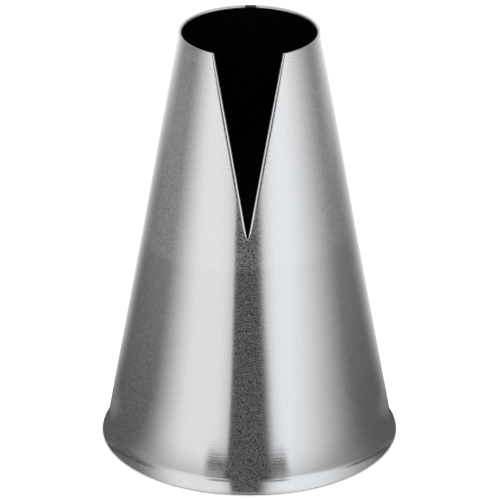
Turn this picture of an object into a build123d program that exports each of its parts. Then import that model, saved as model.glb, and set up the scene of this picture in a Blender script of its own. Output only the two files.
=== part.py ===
from build123d import *
from math import acos, atan2, cos, degrees, hypot, sin, sqrt, tan
import os

os.makedirs("parts", exist_ok=True)

# A piping nozzle stands on its lip with the mouth up. Z is its axis, z = 0 is the
# table, the notch looks along -Y and the welded seam runs down the back, on +Y.
# All sizes are in millimetres.

# The rolled cone
nozzle_height = 50.0  # table to mouth
mouth_bore = 15.15  # across the inside of the mouth
sheet_thickness = 0.4

# The flared lip, bent out of the same sheet
lip_diameter = 34.5  # over the lip's outer corner
lip_overhang = 0.45  # the corner beyond the straight wall, if that ran on down to the table
lip_bend_radius = 4.0  # outside of the bend, hollow as seen from outside
lip_edge_height = 0.1  # table to the lip's outer corner; below it the edge is faced flat

mouth_rounding = 0.08  # on both edges of the mouth

# The V notch in the front of the mouth
notch_width = 7.86  # between its corners, on the outside of the mouth
notch_depth = 20.4  # mouth down to the tip
notch_tip_width = 0.2

# The butt weld that closes the cone
weld_width = 1.2
weld_crown = 0.06  # how far the bead stands above the sheet, inside and outside

# The wall leans in by an angle that ends its inner face on the mouth's bore, while
# its outer face points at the foot radius on the table.
lip_radius = lip_diameter / 2
foot_radius = lip_radius - lip_overhang
taper = foot_radius - mouth_bore / 2
wall_angle = acos(sheet_thickness / hypot(taper, nozzle_height)) - atan2(nozzle_height, taper)
mouth_radius = foot_radius - nozzle_height * tan(wall_angle)

# The bend leaves the straight wall at a tangent and reaches the lip's corner. The
# corner's distance from the wall's line gives the angle that the sheet turns.
lip_reach = (lip_overhang + lip_edge_height * tan(wall_angle)) * cos(wall_angle)
lip_turn = acos(1 - lip_reach / lip_bend_radius)
lip_angle = wall_angle + lip_turn
bend_start = (
    lip_radius - lip_bend_radius * (cos(wall_angle) - cos(lip_angle)),
    lip_edge_height + lip_bend_radius * (sin(lip_angle) - sin(wall_angle)),
)
lip_corner = (lip_radius, lip_edge_height)

# Directions along the sheet, as radius and height
down_the_wall = (sin(wall_angle), -cos(wall_angle))
up_the_lip = (-sin(lip_angle), cos(lip_angle))


def through_sheet(point, angle):
    """The point across the sheet from one on its outer face, where it leans by the angle."""
    return (
        point[0] - sheet_thickness * cos(angle),
        point[1] - sheet_thickness * sin(angle),
    )


# The sheet's section: down the outer face, round the bend, across the lip's cut
# edge, back up the inner face and across the mouth.
with BuildSketch(Plane.XZ) as sheet_section:
    with BuildLine():
        mouth_outside = (mouth_radius, nozzle_height)
        mouth_inside = (mouth_bore / 2, nozzle_height)
        Line(mouth_outside, bend_start)
        JernArc(bend_start, down_the_wall, lip_bend_radius, degrees(lip_turn))
        Line(lip_corner, through_sheet(lip_corner, lip_angle))
        inner_bend = JernArc(
            through_sheet(lip_corner, lip_angle),
            up_the_lip,
            lip_bend_radius + sheet_thickness,
            -degrees(lip_turn),
        )
        Line(inner_bend @ 1, mouth_inside)
        Line(mouth_inside, mouth_outside)
    make_face()
    # The lip's lower corner is faced flat, and that ring stands on the table.
    with Locations((lip_radius, 0)):
        Rectangle(lip_diameter, sheet_thickness, align=(Align.CENTER, Align.MAX), mode=Mode.SUBTRACT)
    fillet(sheet_section.vertices().group_by(Axis.Y)[-1], radius=mouth_rounding)


# The notch is cut square to the sheet: its sides lie on lines through the axis.
def notch_wedge(share):
    """Corners of the notch at a share of its height from tip to mouth, drawn out past the wall."""
    tip_radius = foot_radius - (nozzle_height - notch_depth) * tan(wall_angle)
    tip_front = sqrt(tip_radius**2 - (notch_tip_width / 2) ** 2)
    mouth_front = sqrt(mouth_radius**2 - (notch_width / 2) ** 2)
    half_width = notch_tip_width / 2 + share * (notch_width - notch_tip_width) / 2
    front = tip_front + share * (mouth_front - tip_front)
    reach = foot_radius / tip_radius
    return [(0, 0), (half_width * reach, -front * reach), (-half_width * reach, -front * reach)]


notch_past_mouth_share = 0.1
with BuildPart() as cone_wall:
    revolve(sheet_section.sketch, axis=Axis.Z)
    # The sheet's two butt edges stand a weld's width apart at the back.
    Box(
        weld_width,
        lip_diameter,
        nozzle_height,
        align=(Align.CENTER, Align.MIN, Align.MIN),
        mode=Mode.SUBTRACT,
    )
    with BuildSketch(Plane.XY.offset(nozzle_height - notch_depth)):
        Polygon(*notch_wedge(0), align=None)
    with BuildSketch(Plane.XY.offset(nozzle_height + notch_depth * notch_past_mouth_share)):
        Polygon(*notch_wedge(1 + notch_past_mouth_share), align=None)
    loft(ruled=True, mode=Mode.SUBTRACT)
cone_wall.part.label = "cone_wall"
export_step(cone_wall.part, "parts/cone_wall.step")

# The weld bead fills the gap between the butt edges and follows the sheet from above
# the mouth down round the lip. It is then cut to the cone's height and lip diameter.
above_mouth = (
    mouth_radius - sheet_thickness * sin(wall_angle),
    nozzle_height + sheet_thickness * cos(wall_angle),
)
with BuildPart() as seam_weld:
    with BuildLine(Plane.YZ):
        Line(above_mouth, bend_start)
        JernArc(bend_start, down_the_wall, lip_bend_radius, degrees(lip_turn))
    seam_start = Plane(
        origin=(0, above_mouth[0], above_mouth[1]),
        x_dir=(1, 0, 0),
        z_dir=(0, down_the_wall[0], down_the_wall[1]),
    )
    with BuildSketch(seam_start):
        with BuildLine():
            left, right = -weld_width / 2, weld_width / 2
            ThreePointArc((left, 0), (0, -weld_crown), (right, 0))
            Line((right, 0), (right, sheet_thickness))
            ThreePointArc(
                (right, sheet_thickness),
                (0, sheet_thickness + weld_crown),
                (left, sheet_thickness),
            )
            Line((left, sheet_thickness), (left, 0))
        make_face()
    sweep()
    with BuildSketch(Plane.XY):
        Circle(lip_radius)
    extrude(amount=nozzle_height, mode=Mode.INTERSECT)
seam_weld.part.label = "seam_weld"
export_step(seam_weld.part, "parts/seam_weld.step")
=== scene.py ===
"""A piping nozzle: a rolled cone of satin stainless sheet with a notched mouth and a welded seam.

All lengths are in metres. Z is the nozzle's axis, z = 0 the table, the notch looks along -Y.
"""

import math

import bmesh
import bpy
import numpy as np
from bpy.props import FloatProperty, FloatVectorProperty, PointerProperty
from bpy.types import Operator, Panel, PropertyGroup
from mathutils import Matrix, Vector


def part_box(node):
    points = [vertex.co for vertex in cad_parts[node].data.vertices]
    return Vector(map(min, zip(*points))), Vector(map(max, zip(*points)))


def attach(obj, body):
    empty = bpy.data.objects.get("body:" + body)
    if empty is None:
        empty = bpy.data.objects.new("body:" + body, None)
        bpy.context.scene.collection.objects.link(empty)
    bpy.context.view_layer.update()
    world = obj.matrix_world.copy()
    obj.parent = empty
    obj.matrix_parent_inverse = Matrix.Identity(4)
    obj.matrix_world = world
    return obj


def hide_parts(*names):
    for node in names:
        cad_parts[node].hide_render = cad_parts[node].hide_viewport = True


bl_info = {
    "name": "Piping nozzle",
    "version": (1, 0, 0),
    "blender": (4, 5, 0),
    "location": "View3D > Sidebar > Nozzle",
    "description": "Builds a notched piping nozzle of satin stainless sheet and its stage",
    "category": "Add Mesh",
}

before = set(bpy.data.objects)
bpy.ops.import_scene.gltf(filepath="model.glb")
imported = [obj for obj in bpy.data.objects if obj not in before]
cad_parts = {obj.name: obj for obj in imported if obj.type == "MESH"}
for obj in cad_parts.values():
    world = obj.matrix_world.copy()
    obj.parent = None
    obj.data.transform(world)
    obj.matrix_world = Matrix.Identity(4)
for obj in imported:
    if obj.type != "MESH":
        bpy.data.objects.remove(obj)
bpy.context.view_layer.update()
WALL_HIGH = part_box("cone_wall")[1]

MM = 0.001
BODY = "root"

# How finely the shapes are drawn.
TIP_POINTS = 9
NOTCH_POINTS = 120
CORNER_POINTS = 12
MOUTH_POINTS = 150
BEND_POINTS = 12
WALL_ROWS = 24
BEAD_ROWS = 700
BEAD_COLUMNS = 17
TENT_FLOOR_POINTS = 24
TENT_WALL_POINTS = 40
TENT_TOP_POINTS = 12
TENT_COLUMNS = 96
SHARP_DEGREES = 35

# The lip's edge section starts and ends this many roundings from its corners. The roundings are
# given as shares: at the outer corner, and at the outer and the inner edge of the ring below.
LIP_RUN = 2
LIP_ROUNDING_SHARES = (0.8, 1.0, 0.7)


def linear(hex_colour):
    """An sRGB hex value such as "DDDCDA" as linear red, green, blue and alpha."""
    srgb = np.array([int(hex_colour[i : i + 2], 16) for i in (0, 2, 4)]) / 255
    low, high = srgb / 12.92, ((srgb + 0.055) / 1.055) ** 2.4
    return (*(float(v) for v in np.where(srgb <= 0.04045, low, high)), 1.0)


def length(name, description, default):
    """A length property in metres."""
    return FloatProperty(
        name=name, description=description, default=default, unit="LENGTH", precision=5
    )


def angle(name, description, degrees):
    """An angle property, kept in radians."""
    return FloatProperty(
        name=name, description=description, default=math.radians(degrees), subtype="ANGLE"
    )


def colour(name, description, hex_colour):
    """A colour property, kept as linear values."""
    return FloatVectorProperty(
        name=name,
        description=description,
        default=linear(hex_colour),
        size=4,
        subtype="COLOR",
        min=0,
        max=1,
    )


def share(name, description, default):
    """A plain number from 0 to 1."""
    return FloatProperty(
        name=name, description=description, default=default, min=0, max=1, subtype="FACTOR"
    )


class NozzleSizes(PropertyGroup):
    """Sizes of the rolled cone, its notch, its lip and its seam."""

    height: length("Height", "Table to mouth", WALL_HIGH.z)
    lip_diameter: length("Lip diameter", "Over the lip's outer corner", 2 * WALL_HIGH.x)
    lip_overhang: length("Lip overhang", "Lip's corner beyond the straight wall", 0.45 * MM)
    lip_bend_radius: length("Lip bend", "Outside radius of the bend into the lip", 4.0 * MM)
    lip_edge_height: length("Lip edge height", "Table to the lip's corner", 0.1 * MM)
    mouth_bore: length("Mouth bore", "Across the inside of the mouth", 15.15 * MM)
    sheet: length("Sheet", "Thickness of the sheet", 0.4 * MM)
    notch_width: length("Notch width", "Between its corners at the mouth", 8.0 * MM)
    notch_depth: length("Notch depth", "Mouth down to the tip", 20.4 * MM)
    notch_tip_width: length("Notch tip", "Width of the notch at its tip", 0.2 * MM)
    notch_bow: length("Notch bow", "How far its sides bow inwards at half height", 0.08 * MM)
    notch_rounding: length("Notch rounding", "Outer corner of the notch's edge", 0.38 * MM)
    notch_roll_depth: length("Notch roll depth", "That corner's depth into the sheet", 0.2 * MM)
    notch_break: length("Notch break", "Inner corner of the notch's edge", 0.04 * MM)
    tip_rounding: length("Tip rounding", "Outer corner at the notch's tip", 0.05 * MM)
    mouth_rounding: length("Mouth rounding", "Outer corner of the mouth's edge", 0.05 * MM)
    mouth_break: length("Mouth break", "Inner corner of the mouth's edge", 0.2 * MM)
    edge_margin: length("Edge margin", "From a rounding to the grid's first row", 0.02 * MM)
    lip_rounding: length("Lip rounding", "Corners of the lip's cut edge", 0.13 * MM)
    weld_width: length("Weld width", "Width of the seam's bead", 1.2 * MM)
    weld_crown: length("Weld crown", "Height of the bead above the sheet", 0.05 * MM)
    ripple_pitch: length("Ripple pitch", "Spacing of the bead's ripples", 0.5 * MM)
    ripple_height: length("Ripple height", "Height of the bead's ripples", 0.006 * MM)


class NozzleFinish(PropertyGroup):
    """Colours and texture sizes of the steel."""

    steel: colour("Steel", "Satin stainless", "DEDEDD")
    steel_low: colour("Steel, lower zone", "Satin stainless below the polishing line", "DCDCDB")
    # The inner face's colour is darker than as-rolled steel: it is painted shade of the cone's
    # inside.
    inside: colour("Inside", "Unpolished inner face", "66656A")
    weld: colour("Weld", "Dressed weld bead", "C9C6C1")
    # The real grain and polishing lines are too fine to show: these are drawn coarser.
    grain: length("Grain", "Size of the tumbled grain", 0.25 * MM)
    fine_grain: length("Fine grain", "Size of the grain below the polishing line", 0.2 * MM)
    grain_depth: length("Grain depth", "Depth of the grain and the polishing lines", 0.003 * MM)
    roughness: share("Roughness", "Roughness between the grain's pits", 0.11)
    haze: share("Haze", "Share of the light that the grain scatters all ways", 0.13)
    haze_low: share("Haze, lower zone", "The same below the polishing line", 0.09)
    brush_width: length("Brush width", "Width of the polishing lines", 0.12 * MM)
    brush_length: length("Brush length", "Length of the polishing lines", 5.0 * MM)
    polish_line: length("Polishing line", "Height where the two finishes meet", 25.9 * MM)
    polish_tilt: FloatProperty(name="Polishing tilt", description="Rise of that line", default=0.06)


class NozzleStage(PropertyGroup):
    """Camera, light tent and floor."""

    camera_distance: length("Camera distance", "From the axis, along the table", 431.53 * MM)
    camera_height: length("Camera height", "Above the table", 221.73 * MM)
    camera_pitch: angle("Camera pitch", "Down from level", 24.746)
    camera_azimuth: angle("Camera azimuth", "Round the axis", 1.0)
    camera_lens: FloatProperty(name="Camera lens", description="Focal length in mm", default=297.1)
    camera_shift: FloatProperty(name="Camera shift", description="Sideways", default=0.00122)
    floor: colour("Floor", "Plain pale floor", "E9E9E9")
    floor_reach: length("Floor reach", "Half the floor's side", 4.0)
    tent_radius: length("Tent radius", "Reach of the light tent", 1.5)
    tent_turn: angle("Tent turn", "Round the axis", 1.0)
    left_cloth: colour("Left cloth", "Tint of the tent's left side", "FFFFFF")
    right_cloth: colour("Right cloth", "Tint of the tent's right side", "F7FAFF")


def lean_of(sizes):
    """The wall's lean from upright, with its inner face on the bore and its outer on the foot."""
    taper = sizes.lip_diameter / 2 - sizes.lip_overhang - sizes.mouth_bore / 2
    across = math.hypot(taper, sizes.height)
    return math.acos(sizes.sheet / across) - math.atan2(sizes.height, taper)


def lip_angle_of(sizes):
    """The lip's lean at its corner: the bend turns until its arc reaches the corner."""
    lean = lean_of(sizes)
    reach = (sizes.lip_overhang + sizes.lip_edge_height * math.tan(lean)) * math.cos(lean)
    return lean + math.acos(1 - reach / sizes.lip_bend_radius)


def bend_point(sizes, angle):
    """Radius and height on the outside of the bend where the sheet leans by the angle."""
    end = lip_angle_of(sizes)
    radius = sizes.lip_diameter / 2 - sizes.lip_bend_radius * (np.cos(angle) - np.cos(end))
    height = sizes.lip_edge_height + sizes.lip_bend_radius * (np.sin(end) - np.sin(angle))
    return radius, height


def rounded(points, radii, steps=4):
    """A polyline with its inner corners rounded by arcs that touch the runs on both sides."""
    points = np.asarray(points, float)
    out = [points[:1]]
    for before, corner, after, radius in zip(points, points[1:], points[2:], radii):
        a, b = before - corner, after - corner
        a, b = a / np.linalg.norm(a), b / np.linalg.norm(b)
        half = math.acos(np.clip(a @ b, -1, 1)) / 2
        middle = (a + b) / np.linalg.norm(a + b)
        centre = corner + middle * radius / math.sin(half)
        first = corner + a * radius / math.tan(half) - centre
        last = corner + b * radius / math.tan(half) - centre
        turn = math.pi - 2 * half
        along = np.linspace(0, 1, steps + 1)[:, None]
        arc = (np.sin((1 - along) * turn) * first + np.sin(along * turn) * last) / math.sin(turn)
        out.append(centre + arc)
    out.append(points[-1:])
    return np.concatenate(out)


def blank_outline(sizes):
    """The top edge of the flat blank from the notch's tip to the back, as five arrays.

    The cone unrolls to a flat ring sector: a point at radius r and azimuth p lies at distance
    r / sin(lean) from the cone's apex, turned by p times sin(lean). The edge runs round the
    notch's tip, up its side, round the corner and along the mouth's circle. As seen from the
    front the side is a straight line that bows inwards by a parabola. The arrays are the edge
    drawn in far enough for its roundings, the reach from there out to the edge, the outer
    corner's rounding along and into the sheet, and the inner corner's rounding.
    """
    lean = lean_of(sizes)
    foot = sizes.lip_diameter / 2 - sizes.lip_overhang
    tip_half, mouth_half = sizes.notch_tip_width / 2, sizes.notch_width / 2

    def flat(radius, azimuth):
        distance, turn = radius / math.sin(lean), azimuth * math.sin(lean)
        return np.stack([distance * np.sin(turn), -distance * np.cos(turn)], -1)

    def outward_normals(line, towards):
        step = np.gradient(line, axis=0)
        across = np.stack([step[:, 1], -step[:, 0]], -1)
        across /= np.linalg.norm(across, axis=1)[:, None]
        return across * np.sign(across[len(across) // 2] @ towards)

    up = np.linspace(0, 1, NOTCH_POINTS)
    radius = foot - (sizes.height - sizes.notch_depth * (1 - up)) * math.tan(lean)
    half_width = tip_half + (mouth_half - tip_half) * up - 4 * sizes.notch_bow * up * (1 - up)
    side = flat(radius, np.arcsin(half_width / radius))
    side_normals = outward_normals(side, np.array([-1.0, 0.0]))
    mouth_radius = foot - sizes.height * math.tan(lean)
    corner_azimuth = math.asin(mouth_half / mouth_radius)
    around = np.linspace(0, 1, MOUTH_POINTS)
    mouth = flat(mouth_radius, corner_azimuth + (math.pi - corner_azimuth) * around)
    mouth_normals = outward_normals(mouth, -mouth[len(mouth) // 2])

    # The tip is an arc that touches both sides; its first point lies on the middle line.
    tip_lean = math.asin(side_normals[0][1])
    tip_radius = tip_half / math.cos(tip_lean)
    turn = np.linspace(-math.pi / 2, -tip_lean, TIP_POINTS)[:-1]
    tip_arc = np.stack([np.cos(turn), np.sin(turn)], -1)
    tip = side[0] + side_normals[0] * tip_radius + tip_arc * tip_radius

    # Towards the tip the notch's wide rounding runs out into a narrow one.
    run_out = 4 * sizes.notch_rounding
    runs_out = np.clip(up * sizes.notch_depth / run_out, 0, 1)[:, None]
    tip_edge = np.array([sizes.tip_rounding, sizes.tip_rounding, sizes.notch_break])
    notch_edge = np.array([sizes.notch_rounding, sizes.notch_roll_depth, sizes.notch_break])
    mouth_edge = np.array([sizes.mouth_rounding, sizes.mouth_rounding, sizes.mouth_break])
    side_edge = tip_edge + (notch_edge - tip_edge) * runs_out * (2 - runs_out)

    def draw_in(corners):
        return corners.max(axis=-1) + sizes.edge_margin

    # Both drawn-in edges meet in one point, and round it the reach follows a parabola that
    # touches both edges.
    first, last = side_normals[-1], mouth_normals[0]
    across = first @ last
    side_in, mouth_in = draw_in(notch_edge), draw_in(mouth_edge)
    corner = first * (side_in - across * mouth_in) + last * (mouth_in - across * side_in)
    corner /= 1 - across**2
    meet = mouth[0] - corner
    passed = np.linspace(0, 1, CORNER_POINTS)[:, None]
    corner_reach = (1 - passed) ** 2 * side_in * first + passed**2 * mouth_in * last
    corner_reach += 2 * passed * (1 - passed) * corner
    corner_edge = (1 - passed) * notch_edge + passed * mouth_edge

    side_reach = side_normals * draw_in(side_edge)[:, None]
    before = (side - side_reach - meet) @ (side[-1] - side[-2]) < 0
    mouth_reach = mouth_normals * mouth_in
    after = (mouth - mouth_reach - meet) @ (mouth[1] - mouth[0]) > 0
    tip_reach = -tip_arc * draw_in(tip_edge)
    inset = np.concatenate(
        [
            tip - tip_reach,
            (side - side_reach)[before],
            np.tile(meet, (len(passed), 1)),
            (mouth - mouth_reach)[after],
        ]
    )
    reach = np.concatenate([tip_reach, side_reach[before], corner_reach, mouth_reach[after]])
    corners = np.concatenate(
        [
            np.tile(tip_edge, (len(tip), 1)),
            side_edge[before],
            corner_edge,
            np.tile(mouth_edge, (after.sum(), 1)),
        ]
    )
    return inset, reach, *corners.T


def edge_section(full_reach, outer, outer_depth, inner, sheet, steps=8):
    """The cut edge of each column, from outer to inner face, as share of the reach and depth.

    A quarter of an ellipse rolls the outer corner over, a quarter circle breaks the inner
    corner, and the cut is flat between them.
    """
    turn = np.linspace(0, math.pi / 2, steps + 1)
    full_reach, outer, outer_depth, inner = (
        v[:, None] for v in (full_reach, outer, outer_depth, inner)
    )
    outer_part = full_reach - outer * (1 - np.sin(turn))
    inner_part = full_reach - inner * (1 - np.cos(turn))
    offset = np.concatenate([outer_part, inner_part], axis=1)
    depth = np.concatenate(
        [outer_depth * (1 - np.cos(turn)), sheet - inner * (1 - np.sin(turn))], axis=1
    )
    return offset / full_reach, depth


def lip_section(sizes):
    """Radius and height round the lip's cut edge, from the end of its outer to its inner face.

    The edge is square to the sheet down to the table, where it is faced to a flat ring.
    """
    end = lip_angle_of(sizes)
    run = LIP_RUN * sizes.lip_rounding
    corner = np.array([sizes.lip_diameter / 2, sizes.lip_edge_height])
    outside = corner + run * np.array([-math.sin(end), math.cos(end)])
    ring_outer = np.array([corner[0] - corner[1] / math.tan(end), 0])
    bend = sizes.lip_bend_radius
    centre = corner + bend * np.array([math.cos(end), math.sin(end)])
    inner_bend = bend + sizes.sheet
    ring_inner = np.array([centre[0] - math.sqrt(inner_bend**2 - centre[1] ** 2), 0])
    inner_lean = math.asin(centre[1] / inner_bend) - run / inner_bend
    inside = centre - inner_bend * np.array([math.cos(inner_lean), math.sin(inner_lean)])
    radii = [sizes.lip_rounding * part for part in LIP_ROUNDING_SHARES]
    section = rounded([outside, corner, ring_outer, ring_inner, inside], radii)
    return section, inner_lean


def section_loop(sizes, top_edge, rows, crown=None):
    """Radius, height and unrolled azimuth of closed loops round the sheet's section.

    top_edge has the five arrays of blank_outline. A loop runs down the outer face from the
    edge's rounding, round the bend and the lip's edge, up the inner face and over the cut edge,
    which is square to the sheet. The crown is a function of the share of the way down that
    lifts both faces, for a weld bead.
    """
    inset, reach, *corners = top_edge
    lean, end = lean_of(sizes), lip_angle_of(sizes)
    foot = sizes.lip_diameter / 2 - sizes.lip_overhang

    def on_cone(flat):
        radius = np.linalg.norm(flat, axis=-1) * math.sin(lean)
        azimuth = np.arctan2(flat[..., 0], -flat[..., 1]) / math.sin(lean)
        return radius, (foot - radius) / math.tan(lean), azimuth

    top_radius, top_height, azimuth = on_cone(inset)
    bend_radius, bend_height = bend_point(sizes, lean)
    down = np.linspace(0, 1, rows)
    wall_radius = top_radius[:, None] + (bend_radius - top_radius)[:, None] * down
    wall_height = top_height[:, None] + (bend_height - top_height)[:, None] * down

    lip_edge, inner_lean = lip_section(sizes)
    stop = end - LIP_RUN * sizes.lip_rounding / sizes.lip_bend_radius
    outer_bend = np.linspace(lean, stop, BEND_POINTS)[1:-1]
    inner_bend = np.linspace(inner_lean, lean, BEND_POINTS)[1:-1]
    columns = np.ones((len(inset), 1))

    def face(radius, height, angle, depth, lift):
        return radius - (depth - lift) * np.cos(angle), height - (depth - lift) * np.sin(angle)

    lift = crown(down) if crown else np.zeros(1)
    parts = [
        face(wall_radius, wall_height, lean, 0, lift),
        [v * columns for v in bend_point(sizes, outer_bend)],
        [v * columns for v in lip_edge.T],
        [v * columns for v in face(*bend_point(sizes, inner_bend), inner_bend, sizes.sheet, 0)],
        [v[:, ::-1] for v in face(wall_radius, wall_height, lean, sizes.sheet, -lift)],
    ]

    # The cut edge, from the inner face back to the outer one.
    full_reach = np.linalg.norm(reach, axis=1)
    part, depth = (v[:, ::-1] for v in edge_section(full_reach, *corners, sizes.sheet))
    edge_flat = inset[:, None] + reach[:, None] * part[..., None]
    edge_radius, edge_height, edge_azimuth = on_cone(edge_flat)
    parts.append(face(edge_radius, edge_height, lean, depth, 0))

    radius = np.concatenate([p[0] for p in parts], axis=1)
    height = np.concatenate([p[1] for p in parts], axis=1)
    plain = radius.shape[1] - edge_radius.shape[1]
    azimuths = np.concatenate([np.repeat(azimuth[:, None], plain, axis=1), edge_azimuth], axis=1)
    counts = [p[0].shape[1] for p in parts]
    return radius, height, azimuths, counts


def grid_faces(columns, loop):
    """Quads of a grid of columns whose points close into loops."""
    i, j = np.meshgrid(np.arange(columns - 1), np.arange(loop), indexing="ij")
    a, b = i * loop + j, (i + 1) * loop + j
    following = (j + 1) % loop
    c, d = (i + 1) * loop + following, i * loop + following
    return np.stack([d, c, b, a], -1).reshape(-1, 4)


def end_caps(counts, columns, loop):
    """Faces that close the first and last loop: quads between the faces, one face at each edge."""
    outer = counts[0] + counts[1]
    lip = counts[2]
    inner = counts[3] + counts[4]
    i = np.arange(outer - 1)
    far = outer + lip + inner - 1
    quads = np.stack([i, i + 1, far - i - 1, far - i], -1)
    lip_face = [outer - 1 + k for k in range(lip + 2)]
    top_face = [far + k for k in range(loop - far)] + [0]
    cap = [list(q) for q in quads] + [lip_face, top_face]
    shift = (columns - 1) * loop
    first = [f[::-1] for f in cap]
    last = [[v + shift for v in f] for f in cap]
    return first + last


def mesh_object(name, points, quads, extra_faces=()):
    """A smooth mesh object at the origin from an array of points, quads and a few other faces."""
    mesh = bpy.data.meshes.new(name)
    faces = [*quads.tolist(), *extra_faces]
    mesh.from_pydata(points.reshape(-1, 3).tolist(), [], faces)
    mesh.shade_smooth()
    mesh.set_sharp_from_angle(angle=math.radians(SHARP_DEGREES))
    mesh.validate()
    piece = bpy.data.objects.new(name, mesh)
    bpy.context.scene.collection.objects.link(piece)
    return piece


def to_points(radius, height, azimuth):
    """Points from radius, height and azimuth, where azimuth 0 looks along -Y."""
    parts = np.broadcast_arrays(radius * np.sin(azimuth), -radius * np.cos(azimuth), height)
    return np.stack(parts, -1)


def paint_inside(piece, counts, columns, loop, last):
    """Gives the loops' inner face the second material, up to the point called last."""
    inner = np.zeros(loop, np.int32)
    inner[sum(counts[:3]) : last] = 1
    index = np.zeros(len(piece.data.polygons), np.int32)
    index[: (columns - 1) * loop] = np.tile(inner, columns - 1)
    piece.data.polygons.foreach_set("material_index", index)


def merge_doubles(piece, distance=1e-8):
    """Merges points in the same place, where the columns round the notch's corner meet."""
    work = bmesh.new()
    work.from_mesh(piece.data)
    bmesh.ops.remove_doubles(work, verts=work.verts, dist=distance)
    work.to_mesh(piece.data)
    work.free()
    piece.data.set_sharp_from_angle(angle=math.radians(SHARP_DEGREES))


def cone_wall_piece(sizes):
    """The rolled sheet, from one butt edge round the front to the other.

    Its outline is mirrored in the plane x = 0. Behind the middle the azimuths draw back so
    that the two butt edges lie in the planes half a weld's width to each side.
    """
    radius, height, azimuth, counts = section_loop(sizes, blank_outline(sizes), WALL_ROWS)
    half_weld = np.arcsin(np.clip(sizes.weld_width / 2 / radius, -1, 1))
    azimuth -= half_weld * np.clip(2 * azimuth / math.pi - 1, 0, 1)
    right = to_points(radius, height, azimuth)
    left = right[:0:-1] * np.array([-1, 1, 1])
    points = np.concatenate([left, right])
    columns, loop = points.shape[:2]
    quads = grid_faces(columns, loop)
    piece = mesh_object("cone_wall_sheet", points, quads, end_caps(counts, columns, loop))
    paint_inside(piece, counts, columns, loop, last=loop - counts[5])
    merge_doubles(piece)
    return piece


def seam_weld_piece(sizes):
    """The weld bead between the two butt edges.

    It is the sheet's own section, with both faces lifted by a crown that is a parabola across
    the seam and fades to its ends. Ripples ride on it, sine waves that bow along the seam.
    """
    lean = lean_of(sizes)
    mouth_radius = sizes.lip_diameter / 2 - sizes.lip_overhang - sizes.height * math.tan(lean)
    across = np.linspace(1, -1, BEAD_COLUMNS)
    drawn_in = max(sizes.mouth_rounding, sizes.mouth_break) + sizes.edge_margin
    distance = mouth_radius / math.sin(lean)
    back_turn = math.pi * math.sin(lean)
    back = np.array([math.sin(back_turn), -math.cos(back_turn)])
    top_edge = [
        np.tile(back * (distance + drawn_in), (BEAD_COLUMNS, 1)),
        np.tile(-back * drawn_in, (BEAD_COLUMNS, 1)),
        np.full(BEAD_COLUMNS, sizes.mouth_rounding),
        np.full(BEAD_COLUMNS, sizes.mouth_rounding),
        np.full(BEAD_COLUMNS, sizes.mouth_break),
    ]
    run = (sizes.height - sizes.lip_edge_height) / math.cos(lean)
    crown_fade = 2 * MM
    parabola = 1 - across[:, None] ** 2
    ripple_bow = 0.5 * sizes.ripple_pitch * parabola

    def crown(down):
        ends = np.clip(np.minimum(down, 1 - down) * run / crown_fade, 0, 1)
        waves = np.sin(2 * math.pi * (down * run + ripple_bow) / sizes.ripple_pitch)
        return parabola * ends * (sizes.weld_crown + sizes.ripple_height * (waves - 1))

    radius, height, _, counts = section_loop(sizes, top_edge, BEAD_ROWS, crown)
    offset = across[:, None] * sizes.weld_width / 2
    azimuth = math.pi - np.arcsin(np.clip(offset / radius, -1, 1))
    points = to_points(radius, height, azimuth)
    columns, loop = points.shape[:2]
    quads = grid_faces(columns, loop)
    piece = mesh_object("seam_weld_bead", points, quads, end_caps(counts, columns, loop))
    paint_inside(piece, counts, columns, loop, last=loop)
    return piece


def add_node(tree, kind, inputs=None, **settings):
    """Adds a node, sets its options, and fills its inputs with values or links."""
    node = tree.nodes.new(kind)
    for key, value in settings.items():
        setattr(node, key, value)
    for socket, value in (inputs or {}).items():
        if isinstance(value, bpy.types.NodeSocket):
            tree.links.new(value, node.inputs[socket])
        else:
            node.inputs[socket].default_value = value
    return node.outputs[0] if node.outputs else None


def work_out(tree, values, table):
    """Works out a table with nodes, row by row, and adds each row's result to the named values.

    A row is a name, an operation and what goes into it: numbers, or names of earlier values.
    LINEAR and SMOOTHSTEP take a value, the two places that it is stepped between, and the
    results there unless they are 0 and 1. MIX takes a share and the two values that it blends.
    PRODUCT takes any number of factors, and the others take what the Math node takes.
    """
    step_sockets = ("Value", "From Min", "From Max", "To Min", "To Max")
    for name, operation, *given in table:
        given = [values[item] if isinstance(item, str) else item for item in given]
        if operation in ("LINEAR", "SMOOTHSTEP"):
            inputs = dict(zip(step_sockets, given))
            result = add_node(tree, "ShaderNodeMapRange", inputs, interpolation_type=operation)
        elif operation == "MIX":
            inputs = dict(zip(("Factor", "A", "B"), given))
            result = add_node(tree, "ShaderNodeMix", inputs, data_type="FLOAT")
        elif operation == "PRODUCT":
            result = given[0]
            for factor in given[1:]:
                inputs = {0: result, 1: factor}
                result = add_node(tree, "ShaderNodeMath", inputs, operation="MULTIPLY")
        else:
            inputs = dict(enumerate(given))
            result = add_node(tree, "ShaderNodeMath", inputs, operation=operation)
        values[name] = result


def new_material(name):
    """An empty node material and its tree."""
    material = bpy.data.materials.new(name)
    material.use_nodes = True
    material.node_tree.nodes.clear()
    return material, material.node_tree


def finish_material(tree, shader):
    """Links a shader to the material's output."""
    add_node(tree, "ShaderNodeOutputMaterial", {"Surface": shader})


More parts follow.
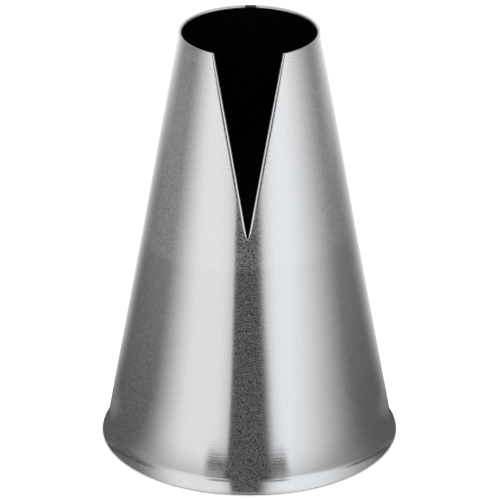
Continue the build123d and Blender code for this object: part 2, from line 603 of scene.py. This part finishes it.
def satin_stainless(finish):
    """Stainless sheet, tumbled to a fine grain and then polished round on a mandrel.

    The eye sees a sharp reflection under a fine haze: the grain scatters a little light into
    the dark parts and mottles the bright ones, and the polishing lines smear it up and down.
    """
    material, tree = new_material("satin_stainless_sheet")
    place = add_node(tree, "ShaderNodeTexCoord").node.outputs["Object"]
    x, y, z = add_node(tree, "ShaderNodeSeparateXYZ", {0: place}).node.outputs
    values = {"x": x, "y": y, "z": z}
    mean_radius = 13 * MM
    zone_blur = 0.4 * MM
    zone_low, zone_high = finish.polish_line - zone_blur, finish.polish_line + zone_blur
    work_out(
        tree,
        values,
        (
            # The polishing lines run round the cone.
            ("minus_y", "MULTIPLY", "y", -1.0),
            ("azimuth", "ARCTAN2", "x", "minus_y"),
            ("around", "MULTIPLY", "azimuth", mean_radius / finish.brush_length),
            ("up", "MULTIPLY", "z", 1 / finish.brush_width),
            # Above a slightly tilted line the sheet was polished once more.
            ("tilted", "MULTIPLY_ADD", "x", -finish.polish_tilt, "z"),
            ("polished", "SMOOTHSTEP", "tilted", zone_low, zone_high),
        ),
    )
    lines_at = add_node(tree, "ShaderNodeCombineXYZ", {0: values["around"], 1: values["up"]})
    values["lines"] = add_node(
        tree, "ShaderNodeTexNoise", {"Vector": lines_at, "Scale": 1.0, "Detail": 3.0}
    )
    grain_flatness = 1.6
    flatten = add_node(
        tree, "ShaderNodeMapping", {"Vector": place, "Scale": (1, 1, grain_flatness)}
    )
    for name, size in (("coarse", finish.grain), ("fine", finish.fine_grain)):
        values[name] = add_node(
            tree, "ShaderNodeTexNoise", {"Vector": flatten, "Scale": 1 / size, "Detail": 2.0}
        )
    # The grain's noise lies mostly between these two.
    thin, dense = 0.35, 0.65
    work_out(
        tree,
        values,
        (
            ("grain", "MIX", "polished", "fine", "coarse"),
            # Tumbled pits among the polished grains scatter a share of the light all ways.
            ("pits", "LINEAR", "grain", thin, dense, 0.3, 1.7),
            ("mean_haze", "LINEAR", "polished", 0.0, 1.0, finish.haze_low, finish.haze),
            ("haze", "MULTIPLY", "pits", "mean_haze"),
            ("metallic", "SUBTRACT", 1.0, "haze"),
            # They keep a little of the light, which mottles the bright parts.
            ("given_back", "LINEAR", "grain", thin, dense, 1.04, 0.96),
            ("height", "MULTIPLY_ADD", "grain", 0.5, "lines"),
        ),
    )
    steel = add_node(
        tree,
        "ShaderNodeMix",
        {"Factor": values["polished"], "A": finish.steel_low, "B": finish.steel},
        data_type="RGBA",
    ).node.outputs["Result"]
    steel = add_node(
        tree, "ShaderNodeVectorMath", {0: steel, "Scale": values["given_back"]}, operation="SCALE"
    )
    bump = add_node(
        tree,
        "ShaderNodeBump",
        {"Height": values["height"], "Strength": 1.0, "Distance": finish.grain_depth},
    )
    shader = add_node(
        tree,
        "ShaderNodeBsdfPrincipled",
        {
            "Base Color": steel,
            "Metallic": values["metallic"],
            "Roughness": finish.roughness,
            "Normal": bump,
        },
    )
    finish_material(tree, shader)
    return material


def inner_stainless_painted_shade(finish):
    """The same sheet's inner face, left as rolled: dull, with a coarser mottle, and darker than the
    steel as painted shade of the cone's inside.
    """
    material, tree = new_material("as_rolled_stainless_inside_painted_shade")
    place = add_node(tree, "ShaderNodeTexCoord").node.outputs["Object"]
    mottle_size = 4 * finish.grain
    mottle_depth = 0.02 * MM
    mottle = add_node(
        tree, "ShaderNodeTexNoise", {"Vector": place, "Scale": 1 / mottle_size, "Detail": 4.0}
    )
    roughness = add_node(
        tree, "ShaderNodeMapRange", {"Value": mottle, "To Min": 0.22, "To Max": 0.32}
    )
    bump = add_node(
        tree, "ShaderNodeBump", {"Height": mottle, "Strength": 0.2, "Distance": mottle_depth}
    )
    shader = add_node(
        tree,
        "ShaderNodeBsdfPrincipled",
        {
            # A colour darker than the steel's, as painted shade inside the cone.
            "Base Color": finish.inside,
            "Metallic": 1.0,
            "Roughness": roughness,
            "Normal": bump,
        },
    )
    finish_material(tree, shader)
    return material


def dressed_weld(finish):
    """A weld bead in the same steel, dressed along its length.

    The eye sees upright lines, a little duller than the sheet.
    """
    material, tree = new_material("dressed_stainless_weld")
    place = add_node(tree, "ShaderNodeTexCoord").node.outputs["Object"]
    # The dressing lines are this much narrower than they are long.
    narrowness = 0.08
    line_depth = 0.02 * MM
    stretch = add_node(tree, "ShaderNodeMapping", {"Vector": place, "Scale": (1, 1, narrowness)})
    lines = add_node(
        tree, "ShaderNodeTexNoise", {"Vector": stretch, "Scale": 1 / finish.grain, "Detail": 3.0}
    )
    roughness = add_node(
        tree, "ShaderNodeMapRange", {"Value": lines, "To Min": 0.26, "To Max": 0.4}
    )
    bump = add_node(
        tree, "ShaderNodeBump", {"Height": lines, "Strength": 0.3, "Distance": line_depth}
    )
    shader = add_node(
        tree,
        "ShaderNodeBsdfPrincipled",
        {
            "Base Color": finish.weld,
            "Metallic": 1.0,
            "Roughness": roughness,
            "Normal": bump,
        },
    )
    finish_material(tree, shader)
    return material


def seen_directly(tree):
    """1 for camera, glossy and transmission rays, which show the background, and 0 for others."""
    path = add_node(tree, "ShaderNodeLightPath").node.outputs
    values = {name: path[f"Is {name} Ray"] for name in ("Camera", "Glossy", "Transmission")}
    work_out(
        tree,
        values,
        (("either", "MAXIMUM", "Camera", "Glossy"), ("any", "MAXIMUM", "either", "Transmission")),
    )
    return values["any"]


def matt_board(stage, foot_radius):
    """Matt white board. Seen directly it glows a little, so that it meets the white background.

    The round place under the nozzle's foot has no glow. It lies a little nearer the camera than
    the nozzle, which leaves a thin contact shadow along the front of the lip.
    """
    material, tree = new_material("matt_white_board")
    place = add_node(tree, "ShaderNodeTexCoord").node.outputs["Object"]
    towards_camera = 0.25 * MM
    glow_strength = 0.5
    place = add_node(
        tree, "ShaderNodeMapping", {"Vector": place, "Location": (0, towards_camera, 0)}
    )
    reach = add_node(tree, "ShaderNodeVectorMath", {0: place}, operation="LENGTH")
    values = {"seen": seen_directly(tree), "reach": reach.node.outputs["Value"]}
    work_out(
        tree,
        values,
        (
            ("off_the_foot", "GREATER_THAN", "reach", foot_radius),
            ("glow", "PRODUCT", "seen", "off_the_foot", glow_strength),
        ),
    )
    board = add_node(tree, "ShaderNodeBsdfDiffuse", {"Color": stage.floor})
    glow = add_node(tree, "ShaderNodeEmission", {"Strength": values["glow"]})
    finish_material(tree, add_node(tree, "ShaderNodeAddShader", {0: board, 1: glow}))
    return material


# How bright the tent's cloth is at a point x, y, z, worked out row by row.
TENT_TABLE = (
    # The azimuth in degrees is 0 in front and grows to the right, and the turn is the same to
    # either side. The reach is the distance from the axis, also counted in tenfolds of 20 mm.
    ("minus_y", "MULTIPLY", "y", -1.0),
    ("angle", "ARCTAN2", "x", "minus_y"),
    ("azimuth", "DEGREES", "angle"),
    ("turn", "ABSOLUTE", "azimuth"),
    ("x_squared", "MULTIPLY", "x", "x"),
    ("y_squared", "MULTIPLY", "y", "y"),
    ("reach_squared", "ADD", "x_squared", "y_squared"),
    ("reach", "SQRT", "reach_squared"),
    ("twenties", "DIVIDE", "reach", 20 * MM),
    ("all_tenfolds", "LOGARITHM", "twenties", 10.0),
    ("tenfolds", "MINIMUM", "all_tenfolds", 1.5),
    ("near_tenfolds", "MINIMUM", "all_tenfolds", 0.5),
    # The white cloth is brighter on the right. It falls off towards the slot, and towards the foot
    # as painted shade of the nozzle on the table top.
    ("white_by_side", "SMOOTHSTEP", "azimuth", -5.0, 15.0, 0.985, 1.11),
    ("white_by_slot", "SMOOTHSTEP", "turn", 8.0, 27.0, 0.6, 1.0),
    ("white_by_painted_foot_shade", "SMOOTHSTEP", "reach", 45 * MM, 20 * MM, 1.0, 0.525),
    ("white", "PRODUCT", "white_by_side", "white_by_slot", "white_by_painted_foot_shade"),
    # The sides are grey, and their edges drift with the reach.
    ("left_side_from", "MULTIPLY_ADD", "tenfolds", -7.0, -41.3),
    ("left_side_to", "MULTIPLY_ADD", "tenfolds", -14.3, -78.0),
    ("left_side", "SMOOTHSTEP", "azimuth", "left_side_from", "left_side_to"),
    ("right_side_from", "MULTIPLY_ADD", "tenfolds", 19.1, 13.5),
    ("right_side_to", "MULTIPLY_ADD", "tenfolds", 28.4, 80.7),
    ("right_side", "SMOOTHSTEP", "azimuth", "right_side_from", "right_side_to"),
    ("side", "MAXIMUM", "left_side", "right_side"),
    # Low down they are a table top, darkest far out and near the foot, where the nozzle's shade on
    # the table is painted.
    ("table", "SMOOTHSTEP", "z", 40 * MM, 2 * MM),
    ("growth", "MINIMUM", "tenfolds", 0.95),
    ("growth_squared", "MULTIPLY", "growth", "growth"),
    ("table_growth", "MULTIPLY_ADD", "growth_squared", 0.16, 0.065),
    ("table_fade", "SMOOTHSTEP", "reach", 700 * MM, 250 * MM),
    ("table_level", "MULTIPLY", "table_growth", "table_fade"),
    ("side_level", "MIX", "table", 0.1, "table_level"),
    ("front_and_sides", "MIX", "side", "white", "side_level"),
    # Behind the nozzle the table top is bright. That sector drifts with the reach, widens
    # further out, and has a dimmer stretch before it does.
    ("widening", "SMOOTHSTEP", "reach", 142 * MM, 162 * MM, 0.0, 9.0),
    ("back_left_drift", "MULTIPLY_ADD", "near_tenfolds", -33.6, -105.2),
    ("back_left_from", "ADD", "back_left_drift", "widening"),
    ("back_left", "SMOOTHSTEP", "azimuth", "back_left_from", -186.0),
    ("back_right_drift", "MULTIPLY_ADD", "near_tenfolds", 19.4, 104.8),
    ("back_right_from", "SUBTRACT", "back_right_drift", "widening"),
    ("back_right_to", "MULTIPLY_ADD", "near_tenfolds", 25.7, 178.7),
    ("back_right", "SMOOTHSTEP", "azimuth", "back_right_from", "back_right_to"),
    ("back_sector", "MAXIMUM", "back_left", "back_right"),
    ("past_the_foot", "SMOOTHSTEP", "reach", 18 * MM, 25 * MM),
    ("back", "PRODUCT", "back_sector", "past_the_foot", "table"),
    ("dim_from", "SMOOTHSTEP", "reach", 66 * MM, 88 * MM),
    ("dim_to", "SMOOTHSTEP", "reach", 134 * MM, 115 * MM),
    ("dim", "MULTIPLY", "dim_from", "dim_to"),
    ("back_level", "MIX", "dim", 1.676, 1.41),
    ("all_round", "MIX", "back", "front_and_sides", "back_level"),
    # Close behind the foot it glows a little more.
    ("behind_the_foot", "SMOOTHSTEP", "turn", 92.0, 108.0),
    ("near_the_foot", "SMOOTHSTEP", "reach", 30 * MM, 22 * MM),
    ("foot_glow", "PRODUCT", "behind_the_foot", "near_the_foot", 0.11),
    ("without_dark", "ADD", "all_round", "foot_glow"),
    # Three places are dark: the slot in front, which narrows on the right further out, a patch
    # before the foot, which is painted shade of the nozzle on the table top, and the edge of the
    # table top.
    ("slot_left", "SMOOTHSTEP", "azimuth", -15.8, -13.8),
    ("slot_right_middle", "LINEAR", "tenfolds", 0.845, 1.2, 14.4, 11.0),
    ("slot_right_from", "ADD", "slot_right_middle", 5.5),
    ("slot_right_to", "SUBTRACT", "slot_right_middle", 4.5),
    ("slot_right", "SMOOTHSTEP", "azimuth", "slot_right_from", "slot_right_to"),
    ("slot", "MULTIPLY", "slot_left", "slot_right"),
    # The patch before the foot is painted shade of the nozzle on the table top.
    ("patch_left", "SMOOTHSTEP", "azimuth", -30.0, -24.0),
    ("patch_right", "SMOOTHSTEP", "azimuth", 26.0, 21.0),
    ("patch_far", "SMOOTHSTEP", "reach", 50 * MM, 43 * MM),
    ("patch_near", "SMOOTHSTEP", "reach", 26 * MM, 38 * MM),
    ("patch", "PRODUCT", "patch_left", "patch_right", "patch_far", "patch_near"),
    ("edge_left", "SMOOTHSTEP", "azimuth", -36.0, -26.0),
    ("edge_right", "SMOOTHSTEP", "azimuth", 34.0, 24.0),
    ("edge_in_front", "MULTIPLY", "edge_left", "edge_right"),
    ("edge_beside_from", "SMOOTHSTEP", "turn", 70.0, 90.0),
    ("edge_beside_to", "SMOOTHSTEP", "turn", 145.0, 130.0),
    ("edge_beside", "MULTIPLY", "edge_beside_from", "edge_beside_to"),
    ("edge_sectors", "MAXIMUM", "edge_in_front", "edge_beside"),
    ("edge_bottom", "SMOOTHSTEP", "z", 8 * MM, 14 * MM),
    ("edge_top", "SMOOTHSTEP", "z", 150 * MM, 100 * MM),
    ("table_edge", "PRODUCT", "edge_sectors", "edge_bottom", "edge_top", 0.85),
    ("slot_and_patch", "MAXIMUM", "slot", "patch"),
    ("dark", "MAXIMUM", "slot_and_patch", "table_edge"),
    ("with_dark", "MIX", "dark", "without_dark", 0.01),
    # Right beside the lip it is dark, a painted contact shadow under the lip's edge. It is grey
    # overhead, and bright high up behind for the mouth's rim.
    ("painted_shadow_beside_the_lip", "SMOOTHSTEP", "reach", 18.8 * MM, 17.6 * MM),
    ("with_lip", "MIX", "painted_shadow_beside_the_lip", "with_dark", 0.08),
    ("overhead", "SMOOTHSTEP", "z", 1.0, 1.3),
    ("with_overhead", "MIX", "overhead", "with_lip", 0.4),
    ("rim_sector", "SMOOTHSTEP", "turn", 138.0, 158.0),
    ("rim_height", "SMOOTHSTEP", "z", 0.3, 0.5),
    ("rim", "MULTIPLY", "rim_sector", "rim_height"),
    ("level", "MIX", "rim", "with_overhead", 0.85),
    # The right half's cloth has a tint of its own, but not its grey side.
    ("right_half", "SMOOTHSTEP", "azimuth", -10.0, 20.0),
    ("not_side", "SUBTRACT", 1.0, "side"),
    ("tinted", "MULTIPLY", "right_half", "not_side"),
)


def tent_cloth(stage):
    """White tent cloth with grey sides, a bright back and a few dark places. Those near the foot
    are painted shade of the nozzle on the table top.

    The steel shows it as soft bands: white in front on both sides of a dark strip, grey beside
    them and bright again at the outline.
    """
    material, tree = new_material("light_tent_cloth")
    place = add_node(tree, "ShaderNodeTexCoord").node.outputs["Object"]
    turned = add_node(
        tree, "ShaderNodeMapping", {"Vector": place, "Rotation": (0, 0, -stage.tent_turn)}
    )
    x, y, z = add_node(tree, "ShaderNodeSeparateXYZ", {0: turned}).node.outputs
    values = {"x": x, "y": y, "z": z}
    work_out(tree, values, TENT_TABLE)
    tint = add_node(
        tree,
        "ShaderNodeMix",
        {"Factor": values["tinted"], "A": stage.left_cloth, "B": stage.right_cloth},
        data_type="RGBA",
    ).node.outputs["Result"]
    glow = add_node(tree, "ShaderNodeEmission", {"Color": tint, "Strength": values["level"]})
    finish_material(tree, glow)
    return material


def light_tent(stage, lip_radius):
    """The tent: a line carried round the axis.

    The line starts just outside the lip and runs along the floor to half the tent's reach,
    then up a quarter of an ellipse to its widest, and flat back to the axis, where it leaves
    a small hole.
    """
    reach = stage.tent_radius
    gap, lift, hole = 0.05 * MM, 0.02 * MM, 1 * MM
    floor_reach = 0.5 * reach
    floor = np.geomspace(lip_radius + gap, floor_reach, TENT_FLOOR_POINTS)
    turn = np.linspace(0, math.pi / 2, TENT_WALL_POINTS)[1:]
    over = np.linspace(0, 1, TENT_TOP_POINTS)[1:]
    radius = np.concatenate(
        [floor, floor_reach + floor_reach * np.sin(turn), reach * (1 - over) + hole * over]
    )
    height = np.concatenate([0 * floor, reach * (1 - np.cos(turn)), reach + 0 * over])
    azimuth = np.linspace(0, 2 * math.pi, TENT_COLUMNS, endpoint=False)
    points = to_points(radius[None], height[None] + lift, azimuth[:, None])
    columns, rows = points.shape[:2]
    i, j = np.meshgrid(np.arange(columns), np.arange(rows - 1), indexing="ij")
    a, b = i * rows + j, (i + 1) % columns * rows + j
    quads = np.stack([a, a + 1, b + 1, b], -1).reshape(-1, 4)
    tent = mesh_object("light_tent", points, quads)
    tent.data.materials.append(tent_cloth(stage))
    tent.visible_camera = False
    tent.visible_diffuse = False
    tent.visible_shadow = False
    return tent


def floor_board(stage, foot_radius):
    """A flat square board on z = 0."""
    corner = stage.floor_reach * np.array([[-1, -1], [1, -1], [1, 1], [-1, 1.0]])
    points = np.concatenate([corner, np.zeros((4, 1))], axis=1)
    floor = mesh_object("floor_board", points, np.array([[0, 1, 2, 3]]))
    floor.data.materials.append(matt_board(stage, foot_radius))
    return floor


def white_world():
    """A white world where it is seen directly, and dimmer where it only lights the floor."""
    world = bpy.data.worlds.new("white_studio")
    world.use_nodes = True
    tree = world.node_tree
    tree.nodes.clear()
    lighting, seen = 0.6, 1.0
    strength = add_node(
        tree,
        "ShaderNodeMapRange",
        {"Value": seen_directly(tree), "To Min": lighting, "To Max": seen},
    )
    background = add_node(tree, "ShaderNodeBackground", {"Strength": strength})
    add_node(tree, "ShaderNodeOutputWorld", {"Surface": background})
    bpy.context.scene.world = world


def soft_lamp(name, azimuth, elevation=45, distance=0.9, size=0.6, power=4.0):
    """A square area lamp that looks at the nozzle's foot. Angles in degrees, power in watts."""
    lamp = bpy.data.lights.new(name, "AREA")
    lamp.size = size
    lamp.energy = power
    holder = bpy.data.objects.new(name, lamp)
    a, e = math.radians(azimuth), math.radians(elevation)
    holder.location = (
        distance * math.sin(a) * math.cos(e),
        -distance * math.cos(a) * math.cos(e),
        distance * math.sin(e),
    )
    holder.rotation_euler = (math.pi / 2 - e, 0, a)
    # The steel shows the tent's cloth, and the lamps only light the board.
    holder.visible_glossy = False
    bpy.context.scene.collection.objects.link(holder)


def photo_camera(stage):
    """The camera at the photograph's height, distance and angle."""
    data = bpy.data.cameras.new("photo_camera")
    data.lens = stage.camera_lens
    data.shift_x = stage.camera_shift
    data.clip_start = 10 * MM
    camera = bpy.data.objects.new("photo_camera", data)
    a = stage.camera_azimuth
    camera.location = (
        stage.camera_distance * math.sin(a),
        -stage.camera_distance * math.cos(a),
        stage.camera_height,
    )
    camera.rotation_euler = (math.pi / 2 - stage.camera_pitch, 0, a)
    bpy.context.scene.collection.objects.link(camera)
    bpy.context.scene.camera = camera


class NOZZLE_OT_cone_wall(Operator):
    """Roll the cone's sheet, with its notch, mouth and lip"""

    bl_idname = "nozzle.cone_wall"
    bl_label = "Cone wall"

    def execute(self, context):
        scene = context.scene
        piece = cone_wall_piece(scene.nozzle_sizes)
        piece.data.materials.append(satin_stainless(scene.nozzle_finish))
        piece.data.materials.append(inner_stainless_painted_shade(scene.nozzle_finish))
        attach(piece, BODY)
        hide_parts("cone_wall")
        return {"FINISHED"}


class NOZZLE_OT_seam_weld(Operator):
    """Lay the weld bead down the back"""

    bl_idname = "nozzle.seam_weld"
    bl_label = "Seam weld"

    def execute(self, context):
        scene = context.scene
        piece = seam_weld_piece(scene.nozzle_sizes)
        piece.data.materials.append(dressed_weld(scene.nozzle_finish))
        piece.data.materials.append(inner_stainless_painted_shade(scene.nozzle_finish))
        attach(piece, BODY)
        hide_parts("seam_weld")
        return {"FINISHED"}


class NOZZLE_OT_stage(Operator):
    """Set up the floor, the light tent, the lamps and the camera"""

    bl_idname = "nozzle.stage"
    bl_label = "Stage"

    def execute(self, context):
        scene = context.scene
        stage = scene.nozzle_stage
        foot_radius = scene.nozzle_sizes.lip_diameter / 2
        floor_board(stage, foot_radius)
        light_tent(stage, foot_radius)
        white_world()
        soft_lamp("left_softbox", azimuth=-45)
        soft_lamp("right_softbox", azimuth=45)
        photo_camera(stage)
        scene.view_settings.view_transform = "Standard"
        return {"FINISHED"}


class NOZZLE_PT_build(Panel):
    """Buttons and sizes for the piping nozzle"""

    bl_label = "Piping nozzle"
    bl_idname = "NOZZLE_PT_build"
    bl_space_type = "VIEW_3D"
    bl_region_type = "UI"
    bl_category = "Nozzle"

    def draw(self, context):
        for operator in OPERATORS:
            self.layout.operator(operator.bl_idname)
        for name in GROUPS:
            group = getattr(context.scene, name)
            box = self.layout.box()
            for key in group.bl_rna.properties.keys():
                if key not in ("rna_type", "name"):
                    box.prop(group, key)


GROUPS = {
    "nozzle_sizes": NozzleSizes,
    "nozzle_finish": NozzleFinish,
    "nozzle_stage": NozzleStage,
}
OPERATORS = (NOZZLE_OT_cone_wall, NOZZLE_OT_seam_weld, NOZZLE_OT_stage)
CLASSES = (*GROUPS.values(), *OPERATORS, NOZZLE_PT_build)


def register():
    for cls in CLASSES:
        bpy.utils.register_class(cls)
    for name, group in GROUPS.items():
        setattr(bpy.types.Scene, name, PointerProperty(type=group))


def unregister():
    for name in GROUPS:
        delattr(bpy.types.Scene, name)
    for cls in reversed(CLASSES):
        bpy.utils.unregister_class(cls)


def main():
    """Registers the add-on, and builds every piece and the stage."""
    register()
    bpy.ops.nozzle.cone_wall()
    bpy.ops.nozzle.seam_weld()
    bpy.ops.nozzle.stage()


if __name__ == "__main__":
    main()
